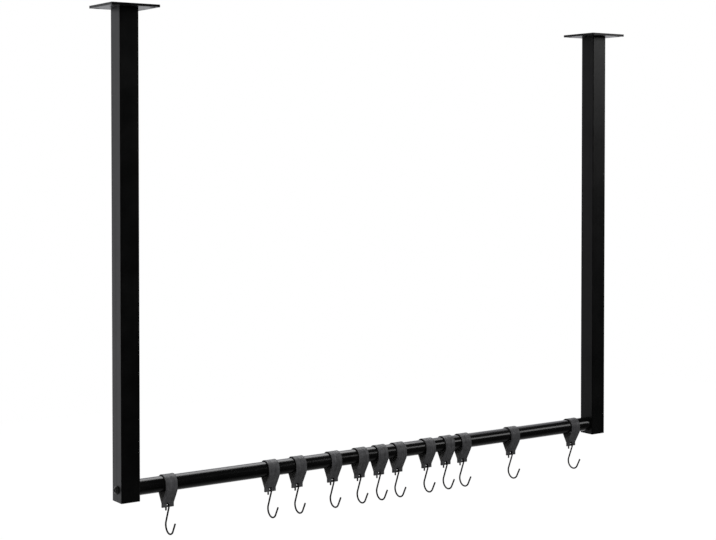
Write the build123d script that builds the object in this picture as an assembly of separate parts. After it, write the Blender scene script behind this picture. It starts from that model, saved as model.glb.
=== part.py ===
from build123d import *
import math
import os

# Hanging clothes rail: two square posts under ceiling plates hold one round rail, and leather loops
# on the rail carry wire S-hooks. Sizes are in millimetres.
# The origin is in the ceiling plane, half way between the posts. +X runs along the rail, +Y is the
# back and +Z is up.

# Posts
post_pitch = 1240.0
post_size = 40.0
post_wall = 2.0
post_corner_radius = 1.5
post_length = 955.0
least_corner_radius = 0.3

# Ceiling plates
plate_size = 102.0
plate_thickness = 5.0
plate_corner_radius = 2.0
plate_hole_pitch = 80.0
plate_hole_diameter = 7.0
plate_countersink_diameter = 13.0

# Rail
rail_diameter = 31.8
rail_wall = 2.0
rail_above_post_end = 7.5
rail_hole_clearance = 0.25

# Bolts and the threaded plugs that they screw into
bolt_diameter = 10.0
bolt_length = 25.0
bolt_hole_clearance = 0.5
bolt_head_diameter = 17.5
bolt_head_height = 5.5
bolt_head_land = 0.8
bolt_socket_size = 6.0
bolt_socket_depth = 3.1
bolt_socket_margin = 0.9
thread_clearance = 0.1
insert_length = 32.0
insert_chamfer = 0.8
insert_clearance = 0.05

# Plastic plugs in the lower ends of the posts
plug_plate_thickness = 3.0
plug_skirt_wall = 1.6
plug_skirt_inset = 0.8
plug_clearance = 0.1
plug_rail_gap = 1.0
plug_fin_thickness = 0.8

# Leather loops
loop_shares = (0.058, 0.2555, 0.3108, 0.3853, 0.4436, 0.4866, 0.5281, 0.5951, 0.6404, 0.68, 0.8005, 0.9579)
strap_thickness = 2.0
strap_width = 26.0
strap_rail_clearance = 0.3
strap_slit = 0.2
strap_shoulder_above_rail_bottom = 5.0
strap_shoulder_radius = 15.0
strap_meet_below_rail = 23.4
strap_bend_radius = 5.0
strap_hole_below_meet = 1.7
strap_hole_diameter = 6.0
strap_end_below_hole = 6.6

# Wire hooks
wire_diameter = 3.5
wire_rise_in_hole = 0.65
wire_end_chamfer = 0.4
hook_eye_radius = 6.2
hook_eye_offset = 1.0
hook_stub_length = 9.5
hook_shank_angle = 22.0
hook_shank_length = 31.2
hook_bend_radius = 16.2
hook_tip_angle = 29.0
hook_tip_length = 19.0

# Places worked out from the sizes above
post_top = -plate_thickness
post_bottom = post_top - post_length
rail_z = post_bottom + rail_above_post_end + rail_diameter / 2
post_outer_wall_x = post_pitch / 2 + post_size / 2 - post_wall
free_rail = post_pitch - post_size
plug_height = rail_above_post_end - plug_rail_gap
strap_shoulder_drop = rail_diameter / 2 - strap_shoulder_above_rail_bottom
strap_meet_drop = rail_diameter / 2 + strap_meet_below_rail
strap_hole_drop = strap_meet_drop + strap_hole_below_meet
strap_end_drop = strap_hole_drop + strap_end_below_hole
hook_eye_drop = strap_hole_drop - wire_rise_in_hole + math.sqrt(hook_eye_radius ** 2 - hook_eye_offset ** 2)
sides = {"left": -1, "right": 1}


def rounded_corner(radius, wall):
    """Corner radius of the inside of a wall, never smaller than the least that is made."""
    return max(radius - wall, least_corner_radius)


def along_x(length, radius, x_start, z):
    """A round bar along X that starts at x_start."""
    return Pos(x_start, 0, z) * extrude(Plane.YZ * Circle(radius), length)


def ceiling_plate(side):
    """Square plate with a countersunk hole in each corner, the wide end below."""
    plate = extrude(RectangleRounded(plate_size, plate_size, plate_corner_radius), -plate_thickness)
    hole_radius = plate_hole_diameter / 2
    sink_radius = plate_countersink_diameter / 2
    sink_depth = sink_radius - hole_radius
    sink = Pos(0, 0, -plate_thickness + sink_depth / 2) * Cone(sink_radius, hole_radius, sink_depth)
    drill = Pos(0, 0, -plate_thickness / 2) * Cylinder(hole_radius, plate_thickness) + sink
    holes = [place * drill for place in GridLocations(plate_hole_pitch, plate_hole_pitch, 2, 2)]
    return Pos(side * post_pitch / 2, 0, 0) * (plate - holes)


def post(side):
    """Square tube with the rail's hole in its inner wall and the bolt's hole in its outer wall."""
    outside = RectangleRounded(post_size, post_size, post_corner_radius)
    hollow = post_size - 2 * post_wall
    inside = RectangleRounded(hollow, hollow, rounded_corner(post_corner_radius, post_wall))
    tube = Pos(side * post_pitch / 2, 0, post_bottom) * extrude(outside - inside, post_length)
    inner_cut = along_x(side * post_size / 2, rail_diameter / 2 + rail_hole_clearance,
                        side * (post_pitch - post_size) / 2, rail_z)
    outer_cut = along_x(side * 2 * post_wall, bolt_diameter / 2 + bolt_hole_clearance,
                        side * (post_outer_wall_x - post_wall / 2), rail_z)
    return tube - inner_cut - outer_cut


def post_end_plug(side):
    """Plastic plug, flush with the post's lower end, with a skirt and one gripping fin."""
    hollow = post_size - 2 * post_wall - 2 * plug_clearance
    corner = rounded_corner(post_corner_radius, post_wall + plug_clearance)
    skirt = hollow - 2 * plug_skirt_inset
    inside = skirt - 2 * plug_skirt_wall
    skirt_corner = rounded_corner(corner, plug_skirt_inset)
    inside_corner = rounded_corner(skirt_corner, plug_skirt_wall)
    fin_z = plug_height - plug_fin_thickness
    plug = extrude(RectangleRounded(hollow, hollow, corner), plug_plate_thickness)
    plug += extrude(RectangleRounded(skirt, skirt, skirt_corner), plug_height)
    plug += Pos(0, 0, fin_z) * extrude(RectangleRounded(hollow, hollow, corner), plug_fin_thickness)
    plug -= Pos(0, 0, plug_plate_thickness) * extrude(
        RectangleRounded(inside, inside, inside_corner), plug_height)
    return Pos(side * post_pitch / 2, 0, post_bottom) * plug


def rail_tube():
    """Round tube that passes through both inner walls and stops at the outer ones."""
    ring = Circle(rail_diameter / 2) - Circle(rail_diameter / 2 - rail_wall)
    tube = extrude(Plane.YZ * ring, 2 * post_outer_wall_x)
    return Pos(-post_outer_wall_x, 0, rail_z) * tube


def rail_insert(side):
    """Turned steel plug with a threaded bore, flush with the end of the rail."""
    radius = rail_diameter / 2 - rail_wall - insert_clearance
    bore = bolt_diameter / 2
    plug = Cylinder(radius, insert_length) - Cylinder(bore, insert_length)
    plug = chamfer(plug.edges().filter_by(GeomType.CIRCLE).group_by(SortBy.RADIUS)[-1], insert_chamfer)
    return Pos(side * (post_outer_wall_x - insert_length / 2), 0, rail_z) * Rot(0, 90, 0) * plug


def rail_bolt(side):
    """Button-head bolt with a hexagon socket, seated on the post's outer face."""
    head_radius = bolt_head_diameter / 2
    flat_radius = bolt_socket_size / math.sqrt(3) + bolt_socket_margin
    rise = bolt_head_height - bolt_head_land
    dome_z = (bolt_head_height + bolt_head_land - (head_radius ** 2 - flat_radius ** 2) / rise) / 2
    dome_radius = math.hypot(head_radius, bolt_head_land - dome_z)
    head = Pos(0, 0, bolt_head_height / 2) * Cylinder(head_radius, bolt_head_height)
    head &= Pos(0, 0, dome_z) * Sphere(dome_radius)
    socket = extrude(RegularPolygon(bolt_socket_size / 2, 6, major_radius=False), bolt_socket_depth)
    head -= Pos(0, 0, bolt_head_height - bolt_socket_depth) * socket
    shank_radius = bolt_diameter / 2 - thread_clearance
    bolt = head + Pos(0, 0, -bolt_length / 2) * Cylinder(shank_radius, bolt_length)
    return Pos(side * (post_outer_wall_x + post_wall), 0, rail_z) * Rot(0, side * 90, 0) * bolt


def leather_loop(x):
    """One strap folded over the rail: its halves hang at the sides, lean together and meet face to face."""
    middle_radius = rail_diameter / 2 + strap_rail_clearance + strap_thickness / 2
    half_gap = (strap_slit + strap_thickness) / 2
    slope_height = strap_meet_drop - strap_shoulder_drop
    lean = math.atan2(middle_radius - half_gap, slope_height)
    lean_degrees = math.degrees(lean)
    bend_reach = strap_bend_radius * math.tan(lean / 2)
    shoulder_reach = strap_shoulder_radius * math.tan(lean / 2)
    slope_length = slope_height / math.cos(lean) - bend_reach - shoulder_reach
    with BuildLine() as front_half:
        tab = Line((-half_gap, -strap_end_drop), (-half_gap, -strap_meet_drop - bend_reach))
        bend = JernArc(tab @ 1, tab % 1, strap_bend_radius, lean_degrees)
        slope = Line(bend @ 1, bend @ 1 + slope_length * (bend % 1))
        shoulder = JernArc(slope @ 1, slope % 1, strap_shoulder_radius, -lean_degrees)
        upright = Line(shoulder @ 1, (-middle_radius, 0))
        JernArc(upright @ 1, upright % 1, middle_radius, -90)
    path = front_half.line + mirror(front_half.line, Plane.YZ)
    strap = extrude(Plane.YZ * trace(path, strap_thickness), strap_width / 2, both=True)
    hole = Pos(0, 0, -strap_hole_drop) * Rot(90, 0, 0) * Cylinder(strap_hole_diameter / 2, strap_width)
    return Pos(x, 0, rail_z) * (strap - hole)


def s_hook(x):
    """Wire hook in the plane across the rail: small bend through the strap, wide bend open to the front."""
    with BuildLine(Plane.YZ) as wire:
        stub_y = hook_eye_offset + hook_eye_radius
        stub = Line((stub_y, -hook_eye_drop - hook_stub_length), (stub_y, -hook_eye_drop))
        eye = JernArc(stub @ 1, stub % 1, hook_eye_radius, 180 + hook_shank_angle)
        shank = Line(eye @ 1, eye @ 1 + hook_shank_length * (eye % 1))
        bend = JernArc(shank @ 1, shank % 1, hook_bend_radius, hook_tip_angle - hook_shank_angle - 180)
        Line(bend @ 1, bend @ 1 + hook_tip_length * (bend % 1))
    section = Plane(wire.line @ 0, z_dir=wire.line % 0) * Circle(wire_diameter / 2)
    hook = sweep(section, wire.line)
    ends = hook.faces().filter_by(GeomType.PLANE).edges()
    return Pos(x, 0, rail_z) * chamfer(ends, wire_end_chamfer)


parts = {"rail_tube": rail_tube()}
for name, side in sides.items():
    parts[f"ceiling_plate_{name}"] = ceiling_plate(side)
    parts[f"post_{name}"] = post(side)
    parts[f"post_end_plug_{name}"] = post_end_plug(side)
    parts[f"rail_insert_{name}"] = rail_insert(side)
    parts[f"rail_bolt_{name}"] = rail_bolt(side)
for number, share in enumerate(loop_shares, 1):
    loop_x = (share - 0.5) * free_rail
    parts[f"leather_loop_{number:02d}"] = leather_loop(loop_x)
    parts[f"s_hook_{number:02d}"] = s_hook(loop_x)

os.makedirs("parts", exist_ok=True)
for name, solid in parts.items():
    export_step(solid, f"parts/{name}.step")
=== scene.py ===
"""Looks of the hanging clothes rail: finishes, leather loops, studio and camera. Sizes are in metres.

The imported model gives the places: +X runs along the rail, +Y is the back, +Z is up, and the origin is
in the ceiling plane half way between the posts.
"""

import math

import bpy
from mathutils import Euler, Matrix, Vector, noise


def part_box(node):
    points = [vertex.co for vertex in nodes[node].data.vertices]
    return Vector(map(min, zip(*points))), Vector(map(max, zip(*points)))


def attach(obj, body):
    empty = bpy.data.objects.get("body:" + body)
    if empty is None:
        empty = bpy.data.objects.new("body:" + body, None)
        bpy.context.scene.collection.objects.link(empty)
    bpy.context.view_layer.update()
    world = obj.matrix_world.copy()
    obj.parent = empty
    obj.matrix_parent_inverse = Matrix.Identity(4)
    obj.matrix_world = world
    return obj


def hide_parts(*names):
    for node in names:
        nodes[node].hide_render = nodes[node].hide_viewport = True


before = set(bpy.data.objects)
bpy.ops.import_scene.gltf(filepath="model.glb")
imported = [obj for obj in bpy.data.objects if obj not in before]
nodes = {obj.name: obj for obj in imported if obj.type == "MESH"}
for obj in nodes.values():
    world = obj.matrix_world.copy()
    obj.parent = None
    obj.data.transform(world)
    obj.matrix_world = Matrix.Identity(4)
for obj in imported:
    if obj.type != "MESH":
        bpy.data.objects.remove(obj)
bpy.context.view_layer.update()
loop_count = sum(name.startswith("leather_loop") for name in nodes)

# The photograph's camera, in pixels of the photograph, metres and radians, with its sensor in
# millimetres. Its axis falls on axis_row.
image_width = 716
image_height = 540
focal_pixels = 1484.4
axis_row = 189.0
camera_place = Vector((-1.89263, -2.60973, -0.28749))
camera_tilt = 0.02325
camera_turn = 0.6093
sensor_width = 36.0

# What the room sends. Gloss sees a bright backdrop, whose middle is turned from +Y towards +X, and a
# dim room round it. The backdrop starts and is full at these cosines from its middle. The rest is a fill.
backdrop_turn = 0.52
backdrop_start = 0.13
backdrop_full = 0.6
room_gloss = 0.03
room_fill = 0.16
room_warmth = -0.04

# Leather straps, where the model's boxes don't give the size
strap_thickness = 0.002
strap_rail_clearance = 0.0003
strap_slit = 0.0002
strap_shoulder_drop = 0.0109
strap_shoulder_radius = 0.015
strap_meet_drop = 0.0393
strap_bend_radius = 0.005
strap_hole_height = 0.0066
strap_hole_radius = 0.003
edge_radius = 0.00045
hole_patch_half = 0.0048

# How the leather stands off its plain line: sizes, and waves per metre along and across. The curl
# grows over a share of the bend round the rail.
curl_height = 0.00022
sag_height = 0.00035
wave_height = 0.00016
wave_rates = (55, 60)
wave_lift = 0.6
ripple_height = 0.00004
ripple_rates = (190, 120)
sway_width = 0.0003
sway_rate = 30
curl_growth_share = 0.65

# Starts in the noises, and steps from strap to strap, so that each strap has its own waves and grain
wave_step = 7.3
ripple_step = 3.1
ripple_start = 40
sway_step = 5.7
sway_row = 9.0
grain_step = 0.37

# How finely the straps are meshed
edge_steps = 3
patch_steps = 8
side_steps = 4
row_step = 0.0016

# Room. Gloss sees the floor as painted light, brightest at the back and dark at the front, up to
# lit_floor_half, and fading out up to lit_floor_fade times that.
room_height = 2.5
floor_half = 9.0
lit_floor_half = 2.4
lit_floor_fade = 1.4
floor_seen_white = 1.1
floor_white_share = 0.9

# The rail's box and the height of its axis
rail_low, rail_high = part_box("rail_tube")
rail_z = (rail_low.z + rail_high.z) / 2


def smooth_share(value):
    """0 to 1 with a soft start and end."""
    value = min(max(value, 0.0), 1.0)
    return value * value * (3 - 2 * value)


class Tree:
    """A node tree with short ways to add nodes and to link or set their inputs."""

    def __init__(self, tree):
        self.tree = tree

    def add(self, kind, inputs=None, **settings):
        """A new node. Inputs are values or other nodes' sockets, settings are the node's own."""
        node = self.tree.nodes.new(kind)
        for name, value in settings.items():
            setattr(node, name, value)
        for name, value in (inputs or {}).items():
            self.put(node.inputs[name], value)
        return node

    def put(self, socket, value):
        if isinstance(value, bpy.types.NodeSocket):
            self.tree.links.new(value, socket)
        else:
            socket.default_value = value

    def math(self, operation, first, second=0.5, clamp=False):
        node = self.add("ShaderNodeMath", {0: first, 1: second}, operation=operation, use_clamp=clamp)
        return node.outputs[0]

    def mix(self, *parts):
        """The sum of some values, each times its share."""
        total = None
        for value, share in parts:
            product = self.math("MULTIPLY", value, share)
            total = product if total is None else self.math("ADD", total, product)
        return total

    def stretched(self, place, scales):
        """The place scaled by axis, for grain that runs one way."""
        node = self.add("ShaderNodeMapping", {"Vector": place, "Scale": scales})
        return node.outputs["Vector"]

    def noise(self, place, scale=1.0, detail=2.0, roughness=0.5):
        inputs = {"Vector": place, "Scale": scale, "Detail": detail, "Roughness": roughness}
        return self.add("ShaderNodeTexNoise", inputs).outputs["Fac"]

    def span(self, value, low, high, to_low=0.0, to_high=1.0):
        """Maps low..high of a value to to_low..to_high, held at both ends."""
        inputs = {"Value": value, "From Min": low, "From Max": high, "To Min": to_low, "To Max": to_high}
        return self.add("ShaderNodeMapRange", inputs).outputs["Result"]

    def blend(self, share, first, second):
        """Colour between first and second. Inputs 6 and 7 and output 2 are the node's colour sockets."""
        node = self.add("ShaderNodeMix", data_type="RGBA")
        self.put(node.inputs["Factor"], share)
        self.put(node.inputs[6], first)
        self.put(node.inputs[7], second)
        return node.outputs[2]

    def bump(self, height, distance, normal=None, strength=1.0):
        inputs = {"Height": height, "Distance": distance, "Strength": strength}
        if normal is not None:
            inputs["Normal"] = normal
        return self.add("ShaderNodeBump", inputs).outputs["Normal"]


def grey(value, warmth=0.0):
    """A near-grey colour, redder and less blue where warmth is above 0, and bluer where it is below."""
    return (value * (1 + max(warmth, 0.0)), value, value * (1 - warmth), 1.0)


def new_material(name):
    """A material, its tree and its shader."""
    material = bpy.data.materials.new(name)
    material.use_nodes = True
    shader = material.node_tree.nodes["Principled BSDF"]
    return material, Tree(material.node_tree), shader


def object_place(tree):
    return tree.add("ShaderNodeTexCoord").outputs["Object"]


def coated_steel(name, along, roughness, shine, peel):
    """Black coat on drawn steel. Along is 1 on the tube's own axis, and peel is the coat's relief."""
    along_grain = 1.5
    across_grain = 160.0
    drawn_share = 0.6
    roughness_spread = 0.045
    drawn_relief = 0.75 * peel
    grit_relief = 0.22 * peel
    material, tree, shader = new_material(name)
    shader.inputs["Specular IOR Level"].default_value = shine
    place = object_place(tree)
    scales = [along_grain if share else across_grain for share in along]
    drawn = tree.noise(tree.stretched(place, scales), detail=3.0, roughness=0.55)
    cloud = tree.noise(place, scale=14.0, detail=3.0, roughness=0.6)
    orange_peel = tree.noise(place, scale=620.0, roughness=0.45)
    grit = tree.noise(place, scale=3200.0, detail=1.0)
    colour = tree.blend(tree.span(cloud, 0.35, 0.65), grey(0.0012), grey(0.0026))
    tree.put(shader.inputs["Base Color"], colour)
    uneven = tree.mix((drawn, drawn_share), (cloud, 1 - drawn_share))
    low, high = roughness - roughness_spread, roughness + roughness_spread
    tree.put(shader.inputs["Roughness"], tree.span(uneven, 0.35, 0.65, low, high))
    normal = tree.bump(drawn, drawn_relief)
    normal = tree.bump(orange_peel, peel, normal)
    normal = tree.bump(grit, grit_relief, normal)
    tree.put(shader.inputs["Normal"], normal)
    return material


def black_wire():
    """Black coated wire with faint lines and a little shine lost where it rubs."""
    material, tree, shader = new_material("hook_wire_black")
    shader.inputs["Specular IOR Level"].default_value = 0.15
    place = object_place(tree)
    lines = tree.noise(tree.stretched(place, (1500.0, 240.0, 240.0)))
    rubbed = tree.noise(place, scale=210.0, detail=3.0, roughness=0.6)
    colour = tree.blend(tree.span(rubbed, 0.4, 0.7), grey(0.0025), grey(0.006))
    tree.put(shader.inputs["Base Color"], colour)
    tree.put(shader.inputs["Roughness"], tree.span(rubbed, 0.35, 0.7, to_low=0.44, to_high=0.6))
    normal = tree.bump(lines, distance=0.00001)
    tree.put(shader.inputs["Normal"], tree.bump(rubbed, distance=0.00004, normal=normal))
    return material


def turned_steel(name, dark, light, roughness, metal=1.0):
    """Turned or forged steel with fine rings round the rail's axis."""
    rings_per_metre = 5200.0
    smoother, rougher = 0.06, 0.08
    material, tree, shader = new_material(name)
    shader.inputs["Metallic"].default_value = metal
    place = object_place(tree)
    shifted = tree.add("ShaderNodeVectorMath", {0: place, 1: (0.0, 0.0, -rail_z)}, operation="ADD")
    parts = tree.add("ShaderNodeSeparateXYZ", {"Vector": shifted.outputs[0]})
    squares = [tree.math("POWER", parts.outputs[axis], 2.0) for axis in ("Y", "Z")]
    radius = tree.math("SQRT", tree.math("ADD", *squares), 0.0)
    count = tree.math("MULTIPLY", radius, rings_per_metre)
    rings = tree.add("ShaderNodeCombineXYZ", {"X": count}).outputs["Vector"]
    turned = tree.noise(rings)
    spots = tree.noise(place, scale=900.0, detail=3.0, roughness=0.6)
    colour = tree.blend(tree.span(spots, 0.35, 0.65), grey(dark), grey(light))
    tree.put(shader.inputs["Base Color"], colour)
    rough = tree.span(spots, 0.3, 0.7, roughness - smoother, roughness + rougher)
    tree.put(shader.inputs["Roughness"], rough)
    normal = tree.bump(turned, distance=0.000012)
    tree.put(shader.inputs["Normal"], tree.bump(spots, distance=0.00002, normal=normal))
    return material


def moulded_plastic():
    """Black moulded plastic with a fine spark texture and soft marks from the mould."""
    material, tree, shader = new_material("plug_plastic_black")
    place = object_place(tree)
    spark = tree.noise(place, scale=2100.0, roughness=0.6)
    marks = tree.noise(place, scale=70.0)
    colour = tree.blend(tree.span(marks, 0.3, 0.7), grey(0.010), grey(0.016))
    tree.put(shader.inputs["Base Color"], colour)
    tree.put(shader.inputs["Roughness"], tree.span(spark, 0.3, 0.7, to_low=0.5, to_high=0.66))
    normal = tree.bump(marks, distance=0.00008)
    tree.put(shader.inputs["Normal"], tree.bump(spark, distance=0.00003, normal=normal))
    return material


def charcoal_leather():
    """Charcoal leather: pebbled grain outside, fibres inside on a flesh side lightened by painted fill
    light, dark burnished cut edges.
    """
    grain_depth = 0.35
    edge_depth = 0.85
    inner_roughness = 0.25
    edge_polish = 0.12
    grain_colour, edge_colour = grey(0.018), grey(0.010)
    material, tree, shader = new_material("loop_leather_charcoal")
    shader.inputs["Specular IOR Level"].default_value = 0.4
    place = tree.add("ShaderNodeAttribute", attribute_name="strap_place").outputs["Vector"]
    edge = tree.add("ShaderNodeAttribute", attribute_name="cut_edge").outputs["Fac"]
    inner = tree.add("ShaderNodeAttribute", attribute_name="inner_side").outputs["Fac"]
    pebbles = tree.add("ShaderNodeTexVoronoi", {"Vector": place, "Scale": 1100.0, "Randomness": 0.9},
                       feature="SMOOTH_F1")
    grain = tree.span(pebbles.outputs["Distance"], 0.0, 0.75)
    streaks = tree.noise(tree.stretched(place, (90.0, 1400.0, 1.0)), detail=3.0, roughness=0.6)
    cloud = tree.noise(place, scale=130.0, detail=3.0, roughness=0.55)
    fibres = tree.noise(tree.stretched(place, (700.0, 2600.0, 1.0)), detail=4.0, roughness=0.7)
    creases = tree.noise(tree.stretched(place, (30.0, 360.0, 1.0)))
    tone = tree.mix((streaks, 0.3), (creases, 0.35), (cloud, 0.35))
    outer_colour = tree.blend(tree.span(tone, 0.38, 0.62), grey(0.032, -0.05), grey(0.088, -0.05))
    in_grain = tree.blend(tree.math("MULTIPLY", grain, grain_depth), outer_colour, grain_colour)
    # Flesh side: fibre tone, lifted with painted fill light to offset the shade under the rail and the
    # front half
    flesh_colour_with_painted_fill = tree.blend(tree.span(fibres, 0.3, 0.7), grey(0.045, 0.02), grey(0.09, 0.02))
    faces = tree.blend(inner, in_grain, flesh_colour_with_painted_fill)
    colour = tree.blend(tree.math("MULTIPLY", edge, edge_depth), faces, edge_colour)
    tree.put(shader.inputs["Base Color"], colour)
    rough = tree.span(tone, 0.38, 0.62, to_low=0.52, to_high=0.42)
    rough = tree.math("ADD", rough, tree.math("MULTIPLY", inner, inner_roughness))
    rough = tree.math("SUBTRACT", rough, tree.math("MULTIPLY", edge, edge_polish), clamp=True)
    tree.put(shader.inputs["Roughness"], rough)
    face_share = tree.math("SUBTRACT", 1.0, edge)
    normal = None
    for height, distance in ((cloud, 0.00025), (creases, 0.00012), (streaks, 0.00006), (grain, 0.00005)):
        normal = tree.bump(height, distance, normal, face_share)
    normal = tree.bump(fibres, 0.00008, normal, inner)
    tree.put(shader.inputs["Normal"], normal)
    return material


class Strap:
    """One folded strap: its sizes, and the line that it follows in the plane across the rail."""

    def __init__(self, node, number):
        low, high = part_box(node)
        self.number = number
        self.x = (low.x + high.x) / 2
        self.half_width = (high.x - low.x) / 2
        self.end_drop = rail_z - low.z
        inner_radius = (rail_high.y - rail_low.y) / 2 + strap_rail_clearance
        self.radius = inner_radius + strap_thickness / 2
        self.half_gap = (strap_slit + strap_thickness) / 2
        slope_height = strap_meet_drop - strap_shoulder_drop
        self.lean = math.atan2(self.radius - self.half_gap, slope_height)
        bend_reach = strap_bend_radius * math.tan(self.lean / 2)
        self.shoulder_reach = strap_shoulder_radius * math.tan(self.lean / 2)
        self.bend_z = -strap_meet_drop - bend_reach
        self.shoulder_z = -strap_shoulder_drop + self.shoulder_reach
        tab = self.end_drop + self.bend_z
        bend = tab + strap_bend_radius * self.lean
        slope = bend + slope_height / math.cos(self.lean) - bend_reach - self.shoulder_reach
        shoulder = slope + strap_shoulder_radius * self.lean
        upright = shoulder - self.shoulder_z
        self.stops = [tab, bend, slope, shoulder, upright]
        self.half = upright + self.radius * math.pi / 2
        self.length = 2 * self.half

    def front(self, along):
        """Place and direction (y, z) on the front half, along from its lower end."""
        tab, bend, slope, shoulder, upright = self.stops
        if along <= tab:
            return (-self.half_gap, along - self.end_drop), (0.0, 1.0)
        if along <= bend:
            angle = (along - tab) / strap_bend_radius
            place = (-self.half_gap - strap_bend_radius * (1 - math.cos(angle)),
                     self.bend_z + strap_bend_radius * math.sin(angle))
            return place, (-math.sin(angle), math.cos(angle))
        if along <= shoulder:
            angle = min((shoulder - along) / strap_shoulder_radius, self.lean)
            direction = (-math.sin(angle), math.cos(angle))
            left = max(slope - along, 0.0)
            place = (-self.radius + strap_shoulder_radius * (1 - math.cos(angle)) - left * direction[0],
                     self.shoulder_z - strap_shoulder_radius * math.sin(angle) - left * direction[1])
            return place, direction
        if along <= upright:
            return (-self.radius, along - upright), (0.0, 1.0)
        angle = (along - upright) / self.radius
        place = (-self.radius * math.cos(angle), self.radius * math.sin(angle))
        return place, (math.sin(angle), math.cos(angle))

    def line(self, along):
        """Place (y, z) and outward direction at a distance along the strap."""
        back = along > self.half
        (y, z), (along_y, along_z) = self.front(self.length - along if back else along)
        outward_y, outward_z = -along_z, along_y
        side = -1 if back else 1
        return (side * y, z), (side * outward_y, outward_z)

    def lift(self, along, across):
        """How far the leather stands off its plain line: it curls over the rail and sags below it."""
        from_end = min(along, self.length - along)
        tab, _, slope, _, upright = self.stops
        over_share = smooth_share((from_end - upright) / (curl_growth_share * (self.half - upright)))
        curl = curl_height * abs(across / self.half_width) ** 3 * over_share
        low_share = smooth_share((from_end - tab) / (slope - tab))
        low_share *= 1 - smooth_share((from_end - slope) / (upright - slope))
        wave_place = (along * wave_rates[0], across * wave_rates[1], self.number * wave_step)
        wave = noise.noise(Vector(wave_place))
        ripple_layer = self.number * ripple_step + ripple_start
        ripple = noise.noise(Vector((along * ripple_rates[0], across * ripple_rates[1], ripple_layer)))
        return curl + low_share * sag_height + wave_height * (wave + wave_lift) + ripple_height * ripple

    def solid_place(self, along, across, height):
        """The place in the frame of a point at a height off the middle of the leather."""
        (y, z), (outward_y, outward_z) = self.line(along)
        height += self.lift(along, across)
        sway = sway_width * noise.noise(Vector((along * sway_rate, self.number * sway_step, sway_row)))
        return Vector((self.x + across + sway, y + outward_y * height, rail_z + z + outward_z * height))


def edge_insets():
    """Distances from a cut edge that give a rounded edge, from the edge inwards."""
    angles = [math.pi / 2 * step / edge_steps for step in range(edge_steps + 1)]
    return [edge_radius * (1 - math.cos(angle)) for angle in angles]


def half_thickness(inset):
    """Half the leather's thickness at a distance from its nearest cut edge."""
    rise = math.sqrt(max(edge_radius ** 2 - (edge_radius - min(inset, edge_radius)) ** 2, 0.0))
    return strap_thickness / 2 - edge_radius + rise


def even_steps(start, end, count):
    """Values from start towards end, without the last."""
    return [start + (end - start) * step / count for step in range(count)]


def strap_rows(strap):
    """Distances along the strap from end to end, densest at its cut ends and its holes."""
    insets = edge_insets()
    patch_low = strap_hole_height - hole_patch_half
    patch_high = strap_hole_height + hole_patch_half
    count = round((strap.half - patch_high) / row_step)
    rows = insets + even_steps(patch_low, patch_high, patch_steps)
    rows += even_steps(patch_high, strap.half, count)
    return rows + [strap.half] + [strap.length - row for row in reversed(rows)]


def strap_columns(half_width):
    """Distances across the strap from side to side, densest at its cut edges and its holes."""
    insets = edge_insets()
    side = [half_width - inset for inset in insets]
    between = even_steps(side[-1], hole_patch_half, side_steps)[1:]
    middle = even_steps(hole_patch_half, -hole_patch_half, patch_steps) + [-hole_patch_half]
    right = side + between
    return right + middle + [-value for value in reversed(right)]


class Sheet:
    """Flat points and faces of a strap, which are then given a thickness."""

    def __init__(self):
        self.points = []
        self.faces = []

    def point(self, along, across, inset):
        self.points.append((along, across, inset))
        return len(self.points) - 1

    def ring_faces(self, outer, inner):
        """Faces between two closed rings of as many points."""
        for index in range(len(outer)):
            after = (index + 1) % len(outer)
            self.faces.append((outer[index], outer[after], inner[after], inner[index]))


def strap_sheet(strap):
    """The strap laid flat, with a ring of faces round each hole."""
    sheet = Sheet()
    rows = strap_rows(strap)
    insets = edge_insets()
    first_patch = len(insets)
    edge_columns = edge_steps + side_steps
    grid = []
    for along in rows:
        from_end = min(along, strap.length - along)
        line = []
        for across in strap_columns(strap.half_width):
            inset = min(strap.half_width - abs(across), from_end)
            line.append(sheet.point(along, across, inset))
        grid.append(line)
    patches = [range(first_patch, first_patch + patch_steps)]
    patches.append(range(len(rows) - 1 - first_patch - patch_steps, len(rows) - 1 - first_patch))
    patch_columns = range(edge_columns, edge_columns + patch_steps)
    for row in range(len(rows) - 1):
        for column in range(len(grid[0]) - 1):
            if any(row in patch for patch in patches) and column in patch_columns:
                continue
            near, far = grid[row], grid[row + 1]
            sheet.faces.append((near[column], near[column + 1], far[column + 1], far[column]))
    for patch in patches:
        add_hole(sheet, grid, patch, patch_columns, strap)
    return sheet


def add_hole(sheet, grid, patch, columns, strap):
    """Fills a square patch of the grid with rings that end in a round hole."""
    low, high = patch.start, patch.stop
    left, right = columns.start, columns.stop
    square = [grid[low][column] for column in range(left, right)]
    square += [grid[row][right] for row in range(low, high)]
    square += [grid[high][column] for column in range(right, left, -1)]
    square += [grid[row][left] for row in range(high, low, -1)]
    near_start = sheet.points[square[0]][0] < strap.half
    centre = strap_hole_height if near_start else strap.length - strap_hole_height
    insets = edge_insets()
    open_radius = strap_hole_radius + insets[-1]
    ring_shares = (0.4, 0.75)
    rings = [square]
    for share in ring_shares:
        rings.append(hole_ring(sheet, square, centre, open_radius, share, insets[-1]))
    for inset in reversed(insets):
        rings.append(hole_ring(sheet, square, centre, strap_hole_radius + inset, 1.0, inset))
    for outer, inner in zip(rings, rings[1:]):
        sheet.ring_faces(outer, inner)


def hole_ring(sheet, square, centre, radius, share, inset):
    """A ring between the square patch and a circle round the hole: share 1 is the circle."""
    ring = []
    for index in square:
        along, across, _ = sheet.points[index]
        distance = math.hypot(along - centre, across)
        scale = (1 - share) + share * radius / distance
        ring.append(sheet.point(centre + (along - centre) * scale, across * scale, inset))
    return ring


def open_edges(faces):
    """Directed edges that only one face uses."""
    used = set()
    for face in faces:
        for index in range(len(face)):
            used.add((face[index], face[(index + 1) % len(face)]))
    return [edge for edge in used if (edge[1], edge[0]) not in used]


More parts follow.
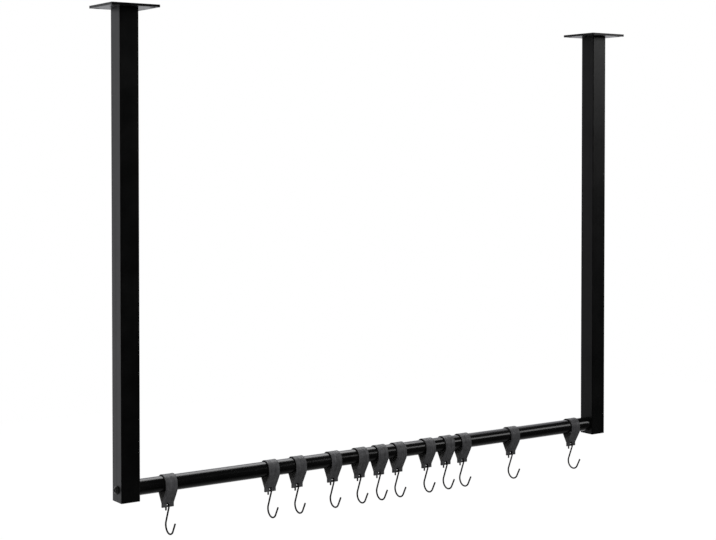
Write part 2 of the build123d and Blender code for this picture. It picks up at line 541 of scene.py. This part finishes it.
def leather_strap(number):
    """The leather strap of one loop, riding on that loop's body."""
    node = f"leather_loop_{number:02d}"
    strap = Strap(node, number)
    sheet = strap_sheet(strap)
    in_use = sorted({index for face in sheet.faces for index in face})
    order = {index: count for count, index in enumerate(in_use)}
    places, edge_shares, inner_shares, sheet_places = [], [], [], []
    for side in (1, -1):
        for index in in_use:
            along, across, inset = sheet.points[index]
            places.append(strap.solid_place(along, across, side * half_thickness(inset)))
            edge_shares.append(1 - min(inset / edge_radius, 1.0))
            inner_shares.append(0.0 if side > 0 else 1.0)
            sheet_places.append((along, across, number * grain_step))
    under = len(in_use)
    outer_faces = [tuple(order[index] for index in face) for face in sheet.faces]
    inner_faces = [tuple(index + under for index in reversed(face)) for face in outer_faces]
    walls = [(b, a, a + under, b + under) for a, b in sorted(open_edges(outer_faces))]
    mesh = bpy.data.meshes.new(f"leather_strap_{number:02d}")
    mesh.from_pydata(places, [], outer_faces + inner_faces + walls)
    add_values(mesh, "cut_edge", "FLOAT", edge_shares)
    add_values(mesh, "inner_side", "FLOAT", inner_shares)
    add_values(mesh, "strap_place", "FLOAT_VECTOR", [value for place in sheet_places for value in place])
    mesh.shade_smooth()
    mesh.materials.append(materials["leather"])
    piece = bpy.data.objects.new(mesh.name, mesh)
    bpy.context.scene.collection.objects.link(piece)
    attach(piece, f"loop_{number:02d}")
    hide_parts(node)


def add_values(mesh, name, kind, values):
    """A named value on each vertex."""
    attribute = mesh.attributes.new(name, kind, "POINT")
    attribute.data.foreach_set("vector" if kind == "FLOAT_VECTOR" else "value", values)


def paint_nodes():
    """Gives each of the model's own nodes its finish."""
    finish_by_start = {
        "ceiling_plate": "frame",
        "post_left": "frame",
        "post_right": "frame",
        "post_end_plug": "plastic",
        "rail_tube": "rail",
        "rail_insert": "insert",
        "rail_bolt": "bolt",
        "s_hook": "wire",
        "leather_loop": "leather",
    }
    for name, node in nodes.items():
        start = next(start for start in finish_by_start if name.startswith(start))
        finish = finish_by_start[start]
        node.data.materials.clear()
        node.data.materials.append(materials[finish])


def backdrop_share(tree, ray):
    """How much a direction points at the bright backdrop behind the object, from 0 to 1."""
    inputs = {0: ray, 1: (math.sin(backdrop_turn), math.cos(backdrop_turn), 0.0)}
    towards = tree.add("ShaderNodeVectorMath", inputs, operation="DOT_PRODUCT").outputs["Value"]
    inputs = {"Value": towards, "From Min": backdrop_start, "From Max": backdrop_full}
    return tree.add("ShaderNodeMapRange", inputs, interpolation_type="SMOOTHSTEP").outputs["Result"]


def studio_world():
    """White to the camera. Gloss shows a bright backdrop in a dim room, and the rest is an even fill."""
    world = bpy.data.worlds.new("studio")
    bpy.context.scene.world = world
    world.use_nodes = True
    world.cycles.sampling_method = "NONE"
    tree = Tree(world.node_tree)
    background = world.node_tree.nodes["Background"]
    ray = tree.add("ShaderNodeTexCoord").outputs["Generated"]
    light_path = tree.add("ShaderNodeLightPath")
    seen_through = light_path.outputs["Is Transmission Ray"]
    seen = tree.math("MAXIMUM", light_path.outputs["Is Camera Ray"], seen_through)
    reflected = tree.blend(backdrop_share(tree, ray), grey(room_gloss, room_warmth), grey(1.0, room_warmth))
    around = tree.blend(light_path.outputs["Is Glossy Ray"], grey(room_fill), reflected)
    tree.put(background.inputs["Color"], tree.blend(seen, around, grey(1.0)))
    background.inputs["Strength"].default_value = 1.0


def add_lamp(name, place, target, width, height, power, in_gloss=True):
    """A soft rectangular lamp that the camera doesn't see."""
    light = bpy.data.lights.new(name, "AREA")
    light.shape = "RECTANGLE"
    light.size = width
    light.size_y = height
    light.energy = power
    lamp = bpy.data.objects.new(name, light)
    lamp.location = place
    aim = Vector(target) - Vector(place)
    lamp.rotation_euler = aim.to_track_quat("-Z", "Y").to_euler()
    lamp.visible_camera = False
    lamp.visible_glossy = in_gloss
    bpy.context.scene.collection.objects.link(lamp)


def studio_lamps():
    """Soft boxes front right and overhead behind the rail, and fills from above and the left."""
    rail_middle = (0.0, 0.0, rail_z)
    add_lamp("front_box", place=(3.0, -2.3, 0.58), target=rail_middle, width=2.0, height=1.0, power=20.0)
    add_lamp("overhead_box", place=(0.6, 0.95, 1.0), target=(0.6, 0.95, rail_z),
             width=2.2, height=1.6, power=34.0)
    add_lamp("left_fill", place=(-3.2, -1.6, -1.3), target=rail_middle,
             width=1.6, height=1.2, power=22.0, in_gloss=False)
    add_lamp("top_fill", place=(-1.2, -2.2, 1.6), target=rail_middle,
             width=2.0, height=1.2, power=80.0, in_gloss=False)


def floor_painted_reflection(tree, place):
    """What gloss shows of the floor: painted light that glows brightest at the back and darkens towards the
    front, and far off the room takes over.
    """
    parts = tree.add("ShaderNodeSeparateXYZ", {"Vector": place})
    # Painted light: the floor glows for gloss, from none at the front to full at the back
    from_front = tree.span(parts.outputs["Y"], -lit_floor_half, lit_floor_half)
    painted_light_level = tree.math("POWER", from_front, 2.0)
    painted_glow = tree.add("ShaderNodeEmission", {"Color": grey(1.0), "Strength": painted_light_level})
    distance = tree.add("ShaderNodeVectorMath", {0: place}, operation="LENGTH").outputs["Value"]
    clear = tree.add("ShaderNodeBsdfTransparent")
    far = tree.span(distance, lit_floor_half, lit_floor_fade * lit_floor_half)
    return tree.add("ShaderNodeMixShader", {0: far, 1: painted_glow.outputs[0], 2: clear.outputs[0]}).outputs[0]


def floor_material():
    """Pale floor, seen as white apart from a faint shadow. Nothing shows of it from below."""
    material, tree, shader = new_material("studio_floor")
    place = object_place(tree)
    speckle = tree.noise(place, scale=40.0, detail=3.0)
    tree.put(shader.inputs["Base Color"], tree.blend(speckle, grey(0.74), grey(0.80)))
    shader.inputs["Roughness"].default_value = 0.85
    white = tree.add("ShaderNodeEmission", {"Color": grey(1.0), "Strength": floor_seen_white})
    light_path = tree.add("ShaderNodeLightPath")
    seen = tree.math("MULTIPLY", light_path.outputs["Is Camera Ray"], floor_white_share)
    pale = tree.add("ShaderNodeMixShader", {0: seen, 1: shader.outputs[0], 2: white.outputs[0]})
    # Gloss sees the floor's painted light in place of its lit colour
    gloss = {0: light_path.outputs["Is Glossy Ray"], 1: pale.outputs[0], 2: floor_painted_reflection(tree, place)}
    above = tree.add("ShaderNodeMixShader", gloss)
    clear = tree.add("ShaderNodeBsdfTransparent")
    below = tree.add("ShaderNodeNewGeometry").outputs["Backfacing"]
    both = tree.add("ShaderNodeMixShader", {0: below, 1: above.outputs[0], 2: clear.outputs[0]})
    output = material.node_tree.nodes["Material Output"]
    tree.put(output.inputs["Surface"], both.outputs[0])
    return material


def studio_floor():
    corners = [(x * floor_half, y * floor_half, 0.0) for x, y in ((-1, -1), (1, -1), (1, 1), (-1, 1))]
    mesh = bpy.data.meshes.new("studio_floor")
    mesh.from_pydata(corners, [], [(0, 1, 2, 3)])
    mesh.materials.append(floor_material())
    floor = bpy.data.objects.new("studio_floor", mesh)
    floor.location.z = -room_height
    bpy.context.scene.collection.objects.link(floor)


def photo_camera():
    """The photograph's camera. The shift puts its axis on the photograph's row."""
    data = bpy.data.cameras.new("photo_camera")
    data.sensor_width = sensor_width
    data.lens = focal_pixels / image_width * sensor_width
    data.shift_y = (axis_row - image_height / 2) / image_width
    camera = bpy.data.objects.new("photo_camera", data)
    camera.location = camera_place
    camera.rotation_euler = Euler((math.pi / 2 - camera_tilt, 0.0, -camera_turn))
    bpy.context.scene.collection.objects.link(camera)
    bpy.context.scene.camera = camera


materials = {
    "frame": coated_steel("frame_coat_black", along=(0, 0, 1), roughness=0.34, shine=0.24, peel=0.00004),
    "rail": coated_steel("rail_coat_black", along=(1, 0, 0), roughness=0.20, shine=0.46, peel=0.000006),
    "wire": black_wire(),
    "bolt": turned_steel("bolt_black_oxide", dark=0.006, light=0.014, roughness=0.34, metal=0.0),
    "insert": turned_steel("insert_zinc", dark=0.34, light=0.5, roughness=0.34),
    "plastic": moulded_plastic(),
    "leather": charcoal_leather(),
}

paint_nodes()
for loop_number in range(1, loop_count + 1):
    leather_strap(loop_number)
studio_world()
studio_lamps()
studio_floor()
photo_camera()
bpy.context.scene.view_settings.view_transform = "Standard"
